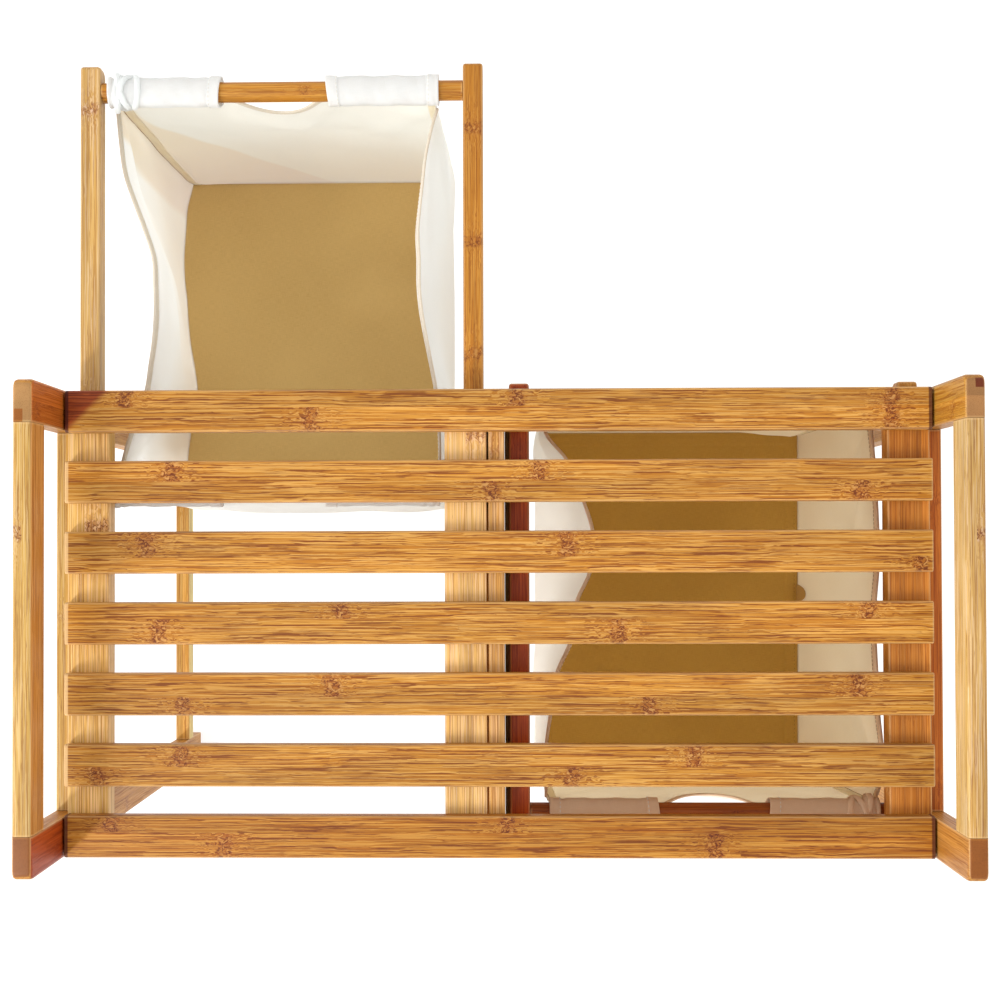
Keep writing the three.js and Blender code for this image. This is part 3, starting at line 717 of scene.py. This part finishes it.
class Bag:
    """Sizes of one bag in millimetres, measured from the middle of its bin, with x outward from the bench's
    middle and y toward the back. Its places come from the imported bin, its slack from the photograph. Outer and
    inner are curves of a side wall's distance from the middle over y, each at its top edge and at its foot.
    Bunches say how deeply each sleeve is gathered at its corner, by (-1 front or 1 back, -1 inner or 1 outer)."""

    def __init__(self, side, shift, half, outer, inner, belly, sag, seed, bunches, finishes, border=0, tab=0):
        self.side, self.half, self.belly, self.sag, self.seed = side, half, belly, sag, seed
        self.bunches, self.finishes, self.border, self.tab = bunches, finishes, border, tab
        self.curves = {"outer": outer, "inner": inner}
        self.body = side + "_bin"
        self.sign = 1 if side == "right" else -1
        arms = [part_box(f"{side}_bin_{place}_arm") for place in ("outer", "inner")]
        front, back = (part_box(f"{side}_bin_{place}_bar") for place in ("front", "back"))
        self.x = (min(a[0].x for a in arms) + max(a[1].x for a in arms)) / 2 / MM + self.sign * shift
        self.y = (front[0].y + back[1].y) / 2 / MM
        self.bar_z = (front[0].z + front[1].z) / 2 / MM
        self.bar_y = (back[0].y + back[1].y) / 2 / MM - self.y
        self.board_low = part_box(f"{side}_base_board")[0].z / MM
        self.foot_z = self.board_low - 0.8
        self.top_z = self.bar_z - EDGE_UNDER_BAR
        self.corner_y, self.foot_y = self.bar_y - CORNER_INSET, self.bar_y + FOOT_OUTSET

    def world(self, points):
        """Points of the bag in metres in the frame of the whole object."""
        return (points * np.array([self.sign, 1, 1]) + np.array([self.x, self.y, 0])) * MM

    def skin(self, points, inward=False):
        """A skin over points of the bag. The left bag is a mirror image, so its skins are turned round."""
        part = skin(self.world(points))
        return turned(part) if inward != (self.sign < 0) else part

    def side_wall(self, which, s, t, wrinkled=True):
        """Side wall, s from front to back and t down: its distance from the middle runs from the top edge's
        curve to the foot's as a power of a cosine, plus a belly that is widest half-way down and near the
        corners. Below its hem the cloth draws in a little, and between the corners the top edge dips."""
        top, foot = self.curves[which]
        y = (2 * s - 1) * (self.corner_y + (self.foot_y - self.corner_y) * t)
        at_top = through(top, (2 * s - 1) * self.corner_y)
        at_foot = through(foot, (2 * s - 1) * self.foot_y)
        down, arc = within(t), np.sin(PI * s)
        out = at_foot + (at_top - at_foot) * np.cos(down * PI / 2) ** 1.35
        spread = (0.55 + 0.45 * np.cos(2 * PI * s)) * (1 - 0.8 * bell(arc, 0.16))
        out = out + self.belly * np.sin(PI * down) ** 1.2 * spread
        out = out - HEM_PULL * (1 - np.exp(-WALL_DROP * down / 5)) * (1 - down) ** 2 * arc ** 0.5
        if wrinkled:
            out = out + self.side_folds(which, s, t)
        z = self.top_z + (self.foot_z - self.top_z) * t - SIDE_DIP * arc ** 2 * (1 - t)
        return stack(out if which == "outer" else -out, y, z)

    def side_folds(self, which, s, t):
        """Creases and ripples of a side wall, held down near its four edges."""
        p, q = s * SIDE_WIDTH, t * WALL_DROP
        waves = ripples(p, q, self.seed + (5 if which == "inner" else 0), 7, 60, 170, 1.2)
        hold = within(np.sin(PI * within(s)) * 8) * within((1 - t) * 10) * within(t * 9)
        return (creases(p, q, SIDE_CREASES) + waves) * hold

    def end_places(self):
        """Places across an end wall, from -1 to 1, closer together where the arch is steep."""
        grip = GRIP_HALF / self.half
        arch = -grip * np.cos(np.linspace(0, PI, 37))
        side = np.linspace(-1, -grip, 26)
        return np.concatenate([side[:-1], arch, -side[::-1][1:]])

    def end_wall(self, which, a, t):
        """End wall, a from -1 at the inner corner to 1 at the outer one and t down. Its top edge is level under
        the sleeves, and at the grip lower by a power of a parabola. It spans straight between the side walls'
        ends, plus a belly that swells as a sine both ways, and under the grip it sags inward."""
        s = np.full(np.broadcast(a, t).shape, 0.0 if which == "front" else 1.0)
        t = t + np.zeros_like(s)
        outer, inner = (self.side_wall(side, s, t, False)[..., 0] for side in ("outer", "inner"))
        x = inner + (outer - inner) * (a + 1) / 2
        across = a * self.half
        at_top = self.top_z - ARCH_DEPTH * np.clip(1 - (across / ARCH_HALF) ** 2, 0, None) ** 1.1
        z = at_top + (self.foot_z - at_top) * t
        down = (self.top_z - z) / (self.top_z - self.foot_z)
        out = self.corner_y + (self.foot_y - self.corner_y) * down
        out = out + (self.bar_y - self.corner_y) * within(1 - np.abs(a) ** 10) * (1 - down)
        out = out + END_BELLY * np.cos(a * PI / 2) ** 0.8 * np.sin(PI * within(down)) ** 1.1
        grip = within(1 - (across / (1.25 * GRIP_HALF)) ** 2) ** 2
        out = out - self.sag * grip * within(1 - 2.4 * down) ** 0.6 + self.end_folds(which, a, down)
        return stack(x, -out if which == "front" else out, z)

    def end_folds(self, which, a, t):
        """Creases and ripples of an end wall. The front one also breaks along a line from its outer corner to
        the foot: below that line it leans in by a share of the distance from it."""
        p, q = a * END_HALF, t * WALL_DROP
        waves = ripples(p, q, self.seed + (11 if which == "back" else 17), 7, 60, 170, 1.2)
        hold = within(np.cos(a * PI / 2) * 6) * within((1 - t) * 10) * within(t * 8)
        folds = creases(p, q, END_CREASES) + waves
        if which == "front":
            below = np.clip(((q - 5) * 0.44 - (130 - p)) / 1.09, 0, None)
            folds = folds - 0.10 * np.sqrt(below ** 2 + 9) + 0.3
        return folds * hold


# ---------- sleeves, hems and stitches ----------

def sleeve_ring(bag, way, end, share, turn, swell=0.0):
    """Point of a sleeve: share runs along it from the grip to the corner, turn round it from its seam under the
    bar. Its section is a drop: round over the bar, drawn to a point at the seam. Slow waves crease it, its two
    hems stand up by half a millimetre, and near a bunched corner the waves are short and deep."""
    start, stop = GRIP_HALF, bag.half + SLEEVE_PAST_CORNER
    x = start + (stop - start) * share
    phi = 2 * PI * turn
    seed = bag.seed + 3 * way + 7 * end
    from_end = np.minimum(x - start, stop - x)
    hem = 0.55 * within((HEM_WIDTH - from_end) / 0.8) - 0.35 * bell(from_end - HEM_WIDTH - 0.7, 0.7)
    waves = (0.3 * np.sin(2 * PI * x / 31 + 2.2 * np.sin(phi + seed) + seed)
             + 0.14 * np.sin(2 * PI * x / 13 + 3.1 * np.cos(phi + 2 * seed)))
    bunch = bag.bunches[way, end] * bell(stop - x, 13)
    waves = waves + bunch * np.sin(2 * PI * (stop - x) / 7.2 + 1.6 * np.sin(phi) + 0.6 * phi)
    grow = 1 + (hem + waves * np.clip(from_end / 3, 0.25, 1) + swell) / SLEEVE_ROUND
    y = SLEEVE_HALF_DEPTH * np.sin(phi) * np.abs(np.sin(phi / 2)) ** 0.4 * grow
    z = np.where(np.cos(phi) > 0, -EDGE_UNDER_BAR * np.cos(phi), -SLEEVE_OVER_BAR * np.cos(phi) * grow)
    slant = -way * 0.12 * y * within(1 - share * 3)
    return stack(end * (x + slant), way * bag.bar_y + y, bag.bar_z + z)


def sleeve(bag, way, end):
    """Points of one sleeve, its top held level just under the seat battens."""
    points = sleeve_ring(bag, way, end, *grid(75, 48))
    points[..., 2] = np.minimum(points[..., 2], SLEEVE_TOP_Z)
    return points if end > 0 else points[:, ::-1]


def frames(line, inward):
    """Directions across a line of points, as near as may be to the given ones, and square to both."""
    along = unit(np.gradient(line, axis=0))
    across = unit(inward - along * np.sum(inward * along, -1, keepdims=True))
    return across, np.cross(along, across)


def band(line, inward, width, thick, sides=14, square=0.55):
    """Flat padded band: an oval of the given width and thickness carried along a line, its closed ends drawn to
    a point. A power of the sine and cosine below one squares the oval off."""
    across, off = frames(line, inward)
    angle = np.linspace(0, 2 * PI, sides + 1)[None, :, None]
    c, s = np.cos(angle), np.sin(angle)
    ring = (line[:, None] + across[:, None] * np.sign(c) * np.abs(c) ** square * width / 2
            + off[:, None] * np.sign(s) * np.abs(s) ** square * thick / 2)
    ends = [np.broadcast_to(line[k], ring[0].shape)[None] for k in (0, -1)]
    return np.concatenate([ends[0], ring, ends[1]])


# Stitches in metres: pitch, then length, width and height of one
FINE_STITCH = (0.0034, (0.0026, 0.0007, 0.0006))
LONG_STITCH = (0.0034, (0.0031, 0.0010, 0.0006))
PANEL_STITCH = (0.0042, (0.0030, 0.0009, 0.0007))


def stitches(line, off, pitch, size):
    """Row of stitches along a line, each a small flattened ellipsoid: x runs along the line as the cosine of
    one angle, and the other two directions share its sine by a second angle."""
    far = arc_lengths(line)
    count = max(int(far[-1] / pitch), 1)
    at = (np.arange(count) + 0.5) / count * far[-1]
    centre, along, lift = (np.stack([np.interp(at, far, values[:, k]) for k in range(3)], -1)
                           for values in (line, np.gradient(line, axis=0), off))
    along = unit(along)
    lift = unit(lift - along * np.sum(lift * along, -1, keepdims=True))
    side = np.cross(along, lift)
    polar, around = grid(4, 6)
    a, b = polar * PI, around * 2 * PI
    shape = sum(share[None, ..., None] * way[:, None, None] * length / 2 for share, way, length in (
        (-np.cos(a), along, size[0]), (np.sin(a) * np.cos(b), side, size[1]),
        (np.sin(a) * np.sin(b), lift, size[2])))
    return [skin(part) for part in shape + centre[:, None, None]]


def bag_edges(bag):
    """Lines that the trims follow, each with directions down or across the cloth: the free edges of the side
    walls, the grips' arches and the four corners."""
    def top_edge(wall, which, along):
        line, below = (wall(which, along, 0 * along + down) for down in (0, 0.03))
        return line, below - line

    s = np.linspace(0.012, 0.988, 90)
    a = -np.cos(np.linspace(0.04, PI - 0.04, 61)) * GRIP_HALF / bag.half
    sides = [top_edge(bag.side_wall, which, s) for which in ("outer", "inner")]
    grips = [top_edge(bag.end_wall, which, a) for which in ("front", "back")]
    t = np.linspace(0.0, 0.985, 70)
    corners = []
    for which in ("front", "back"):
        for end in (-1, 1):
            line, beside = (bag.end_wall(which, end * (1 - inset / bag.half) + 0 * t, t) for inset in (6.0, 22.0))
            corners.append((line, beside - line))
    return sides, grips, corners


def from_bar(bag, way, ring):
    """Directions square to a bar, from its middle toward each point."""
    return unit((ring - np.array([0, way * bag.bar_y, bag.bar_z])) * [0, 1, 1])


# Loops of cloth round a bunched sleeve: share of its length, slant, how far each stands up
GATHERS = ((0.78, 1.1, 0.9), (0.84, -1.3, 1.7), (0.875, 0.9, 1.2), (0.915, -0.9, 1.9))


def bag_trims(bag):
    """Hems along the free edges, felled seams in the corners, the loops of bunched cloth, and all their
    stitches. A row of stitches is its line, its direction off the cloth and 1 for long brown thread, which on the
    left bag's side hems also paints the dark shadow line under the hem."""
    sides, grips, corners = bag_edges(bag)
    hems, seams, loops, rows = [], [], [], []
    for edges, in_hem, width, thick, in_row, lift, brown in (
            (sides, 2.6, 6.6, 2.5, 4.7, 1.15, 1 if bag.border else 0), (grips, 2.4, 6.4, 2.3, 4.4, 1.05, 0)):
        for line, below in edges:
            down, off = frames(line, below)
            hems.append(band(line + down * in_hem, down, width, thick))
            rows += [(line + down * in_row + off * face * lift, off * face, brown) for face in (-1, 1)]
    for line, beside in corners:
        across, off = frames(line, beside)
        off = off * np.sign(np.sum(off * (np.array([0.0, 0.0, 300.0]) - line), -1, keepdims=True))
        place = line + off * 1.3
        seams.append(band(place, across, 8.0, 2.4, square=0.8))
        rows.append((place - across * 3.2 + off, off, 1))
    for (way, end), depth in bag.bunches.items():
        turn = np.linspace(0, 1, 41)
        for k, (share, tilt, swell) in enumerate(GATHERS if depth > 1 else ()):
            share = share + 0.05 * tilt * np.cos(2 * PI * turn + 0.9 * k)
            ring = sleeve_ring(bag, way, end, share, turn, swell)
            loops.append(band(ring, from_bar(bag, way, ring), 3.6, 5.0, sides=10, square=1.0))
    turn, share = np.linspace(0.03, 0.97, 60), np.linspace(0.03, 0.97, 50)
    length = bag.half + SLEEVE_PAST_CORNER - GRIP_HALF
    for way, end in bag.bunches:
        for place in (8.6, length - 8.6):
            ring = sleeve_ring(bag, way, end, place / length + 0 * turn, turn, 0.75)
            rows.append((ring, from_bar(bag, way, ring), 0))
        for face in (-1, 1):
            seam = sleeve_ring(bag, way, end, share, 0.5 + face * 0.43 + 0 * share, 0.6)
            rows.append((seam, np.broadcast_to([0.0, face * -way, 0.0], seam.shape), 0))
    sewn = [(stitches(bag.world(line), off * [bag.sign, 1, 1], *(LONG_STITCH if brown else FINE_STITCH)), brown)
            for line, off, brown in rows]
    return [piece(bag, "bag_hems", [bag.skin(b) for b in hems + seams], [bag.finishes["hems"], FELLED_AND_SHADED],
                  finishes=[0] * len(hems) + [1] * len(seams)),
            piece(bag, "bag_stitches", [part for row, _ in sewn for part in row], [THREAD, BROWN_THREAD_AND_SHADE_LINE],
                  finishes=[brown for row, brown in sewn for _ in row]),
            piece(bag, "bag_gathers", [bag.skin(b) for b in loops], [bag.finishes["sleeves"]])]


# ---------- base panels ----------

def base_edges(bag, v):
    """Inner and outer ends of the base panel at the share v from front to back."""
    y = (2 * v - 1) * (bag.foot_y - BASE_INSET)
    inner, outer = (through(bag.curves[which][1], y) - 1.3 for which in ("inner", "outer"))
    return y, -inner, outer


def base_panel(bag):
    """Stiffened khaki base: a soft-edged slab between the feet of the walls. Its top falls off to the rim as a
    root of the distance, with a slow swell over it and, where it has one, a sewn border that stands up."""
    u, v = (0.5 - 0.5 * np.cos(PI * k) for k in grid(150, 150))
    y, x0, x1 = base_edges(bag, v)
    x = x0 + (x1 - x0) * u
    rim = np.minimum(np.minimum(x - x0, x1 - x), bag.foot_y - BASE_INSET - np.abs(y))
    swell = ripples(x, y, bag.seed + 31, 6, 70, 190, 0.35) * within(rim / 30)
    crown = 3.6 * np.sqrt(within(rim / 4) * (2 - within(rim / 4)))
    border = 0.0
    if bag.border:
        border = (0.7 * within((bag.border - rim) / 0.8) - 0.5 * bell(rim - bag.border, 1.0)
                  - 0.35 * bell(rim - STITCH_INSET, 0.8))
    lower = bag.board_low + BASE_LIFT
    top = lower + crown * 1.05 + swell + border * within(rim / 3)
    panel = piece(bag, "base_panel", [bag.skin(stack(x, y, top)), bag.skin(stack(x, y, lower), inward=True)],
                  [bag.finishes["base"]])
    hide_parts(f"{bag.side}_base_board")
    if bag.border:
        panel_trims(bag)


def panel_trims(bag):
    """Stitches round the sewn border of a base panel, and the half-round pull tab beside it: two layers, each a
    half disc by angle and radius, that stand on the panel's edge and lean on the outer wall."""
    v, u = np.linspace(0.03, 0.97, 120), np.linspace(0.03, 0.97, 100)
    y, x0, x1 = base_edges(bag, v)
    z = bag.board_low + 4.1
    lines = [stack(x1 - STITCH_INSET, y, z), stack(x0 + STITCH_INSET, y, z)]
    for end in (-1, 1):
        y, x0, x1 = base_edges(bag, 0.5 + end * (0.5 - 2.5 / bag.foot_y) + 0 * u)
        lines.append(stack(x0 + (x1 - x0) * u, y, z))
    up = np.array([0.0, 0.0, 1.0])
    thread = [part for line in lines
              for part in stitches(bag.world(line), np.broadcast_to(up, line.shape), *PANEL_STITCH)]
    piece(bag, "panel_stitches", thread, [KHAKI_THREAD])
    angle, reach = grid(36, 14)
    s = 0.5 + (bag.tab + 9.0 * reach * np.cos(angle * PI)) / (2 * bag.foot_y)
    height = 3.0 + 40.0 * reach * np.sin(angle * PI)
    wall = bag.side_wall("outer", s, (bag.top_z - bag.board_low - height) / (bag.top_z - bag.foot_z))
    puff = 0.9 * np.sqrt(within(1 - reach ** 4)) + 0.05
    near, far = wall - stack(2.6 + puff, 0, 0), wall - stack(2.6 - puff, 0, 0)
    piece(bag, "panel_tab", [bag.skin(near), bag.skin(far, inward=True)], [bag.finishes["base"]])


# ---------- the whole bag ----------

def bag_shell(bag):
    """The whole bag as one cloth: a loop of four walls lofted from the top edge to the foot, its corners
    rounded, a base that spans between opposite walls, and the sleeves. The base is the sum of what spans
    from front to back and from side to side, less what spans between the four corners."""
    t, a, s = np.linspace(0, 1, 61)[:, None], bag.end_places()[None, :], np.linspace(0, 1, 79)[None, :]
    walls = [bag.end_wall("front", a, t), bag.side_wall("outer", s, t),
             bag.end_wall("back", a[:, ::-1], t), bag.side_wall("inner", s[:, ::-1], t)]
    loop = np.concatenate([w[:, :-1] for w in walls], 1)
    starts = np.cumsum([0] + [w.shape[1] - 1 for w in walls])[:4]
    near = np.zeros(loop.shape[1])
    for step, weight in ((-2, 0.3), (-1, 0.8), (0, 1), (1, 0.8), (2, 0.3)):
        near[(starts + step) % len(near)] = weight
    for _ in range(3):
        around = (np.roll(loop, 1, 1) + np.roll(loop, -1, 1)) / 2
        loop = loop + (around - loop) * near[None, :, None] * np.array([0.5, 0.5, 0.0])
    closed = np.concatenate([loop, loop[:, :1]], 1)
    n, m = a.size, s.size
    f, o, b, i = (closed[-1][start:start + size] for start, size in zip(starts, (n, m, n, m)))
    b, i = b[::-1], i[::-1]
    u, v = np.linspace(0, 1, n)[:, None, None], np.linspace(0, 1, m)[None, :, None]
    ruled = (1 - v) * f[:, None] + v * b[:, None] + (1 - u) * i[None] + u * o[None]
    base = ruled - ((1 - u) * (1 - v) * f[0] + u * (1 - v) * f[-1] + (1 - u) * v * b[0] + u * v * b[-1])
    parts = [bag.skin(closed), bag.skin(base, inward=True)] + [bag.skin(sleeve(bag, *key)) for key in bag.bunches]
    thing = piece(bag, "bag", parts, [CANVAS, bag.finishes["inside"], bag.finishes["sleeves"]],
                  finishes=[0, 0, 2, 2, 2, 2])
    solid = thing.modifiers.new("thickness", "SOLIDIFY")
    solid.thickness = CLOTH_THICKNESS
    solid.offset = 0
    solid.material_offset = 1
    return thing


# ---------- camera, lights and floor ----------

def set_camera():
    """The photograph's camera, as fitted: a metre above the hand rails, looking almost straight down."""
    data = bpy.data.cameras.new("camera")
    camera = bpy.data.objects.new("camera", data)
    scene.collection.objects.link(camera)
    camera.location = (-0.00452, 0.07495, 1.56791)
    camera.rotation_euler = [math.radians(d) for d in (0.7994, 1.0605, 179.8471)]
    data.sensor_width = 36
    data.lens = 48.108
    data.shift_x, data.shift_y = 0.02264, 0.02743
    scene.camera = camera


def set_light():
    """A bright even studio, a narrow key light over the back right, a broad one at the right, and a pale floor
    that glows."""
    scene.view_settings.view_transform = "Standard"
    world = bpy.data.worlds.new("studio")
    world.use_nodes = True
    Weaver(world.node_tree).fill(world.node_tree.nodes["Background"],
                                 {"Color": (1.0, 0.985, 0.965), "Strength": 1.15})
    scene.world = world
    middle = np.array([0, 0.05, 0.4])
    for name, toward, far, size, power in (("key", (0.62, 0.54, 0.74), 3.0, (1.4, 0.25), 46),
                                           ("side", (1.0, 0.35, 0.22), 3.3, (1.4, 2.4), 40)):
        toward = unit(np.array(toward))
        lamp = bpy.data.lights.new(name, "AREA")
        lamp.shape, lamp.size, lamp.size_y, lamp.energy = "RECTANGLE", size[0], size[1], power
        panel = bpy.data.objects.new(name, lamp)
        panel.location = middle + toward * far
        panel.rotation_euler = [0, math.acos(toward[2]), math.atan2(toward[1], toward[0])]
        scene.collection.objects.link(panel)
    material, _, _ = new_material("pale_floor", {
        "Roughness": 0.9, "Base Color": (0.35, 0.35, 0.35), "Emission Color": (1, 1, 1), "Emission Strength": 0.80})
    low = cad_low.z - 0.0005
    floor = bpy.data.meshes.new("floor")
    floor.from_pydata([(-6, -6, low), (6, -6, low), (6, 6, low), (-6, 6, low)], [], [(0, 1, 2, 3)])
    floor.materials.append(material)
    ground = bpy.data.objects.new("floor", floor)
    scene.collection.objects.link(ground)


set_camera()
set_light()
dress_bamboo()
dress_steel()

RIGHT_BAG = Bag(
    "right", 7.1, 137.2,
    outer=([(-162, 137.2), (-154.2, 136.6), (-132.6, 134.6), (-103.2, 130.6), (-81.6, 123.7), (-60, 115.9),
            (-33.5, 107.6), (-9.1, 106.4), (14.3, 106), (33.9, 107), (57.3, 109.9), (80.6, 113.2), (118, 126),
            (140, 132), (162, 136.5)],
           [(-173.7, 138.2), (-169.6, 138.9), (-147.1, 144.3), (-122.7, 146.2), (-88.6, 148.1), (-69.1, 147.2),
            (-49.5, 145), (-27.6, 143.7), (-3.2, 141.3), (26, 136.4), (47.9, 133.9), (91.7, 140.7),
            (120.3, 143.9), (173.7, 138)]),
    inner=([(-162, 137.2), (-142.1, 131.2), (-120.7, 126.3), (-95.3, 123.3), (-77.8, 121.3), (-54.4, 119.3),
            (-31, 120.3), (-11.6, 120.2), (11.8, 122.1), (29.3, 125), (54.6, 129.8), (81.8, 134.6), (120, 137.2),
            (162, 137.4)],
           [(-173.7, 138), (0, 140), (173.7, 138)]),
    belly=13, sag=5.5, seed=5, bunches={(-1, -1): 0.3, (-1, 1): 1.7, (1, -1): 0.8, (1, 1): 0.8},
    finishes=dict(inside=CANVAS_INSIDE, sleeves=CANVAS, hems=FOLDED_AND_SHADED, base=KHAKI))
LEFT_BAG = Bag(
    "left", 0, 134.3,
    outer=([(-162, 136), (-100, 141), (-29.7, 142.9), (-7.1, 141), (80, 142), (150, 141.5), (162, 137)],
           [(-173.7, 138.3), (0, 137.6), (173.7, 136.8)]),
    inner=([(-162, 137.4), (-149.1, 137.1), (-126.2, 119.5), (-89.1, 104.5), (-66.4, 97.9), (-29.4, 100.6),
            (-7.5, 110.7), (30.3, 117.6), (52.9, 127.8), (89.8, 133.8), (113.3, 137.2), (162, 137.4)],
           [(-173.7, 138), (0, 139), (173.7, 138)]),
    belly=7, sag=12.5, seed=23, bunches={(-1, -1): 0.5, (-1, 1): 0.5, (1, -1): 0.4, (1, 1): 1.6},
    finishes=dict(inside=SHADED_CANVAS_INSIDE, sleeves=SHADED_CANVAS, hems=SHADED_CANVAS, base=SHADED_KHAKI),
    border=14, tab=-3.5)

# Painted shade below the fold inside the right bag's front wall.
paint_shade_below_fold(CANVAS_INSIDE, RIGHT_BAG)
for made in (RIGHT_BAG, LEFT_BAG):
    shell = bag_shell(made)
    names = [f"{made.side}_bag_{part}" for part in ("front_wall", "back_wall", "outer_wall", "inner_wall", "base")]
    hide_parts(*names)
    trims = bag_trims(made)
    base_panel(made)
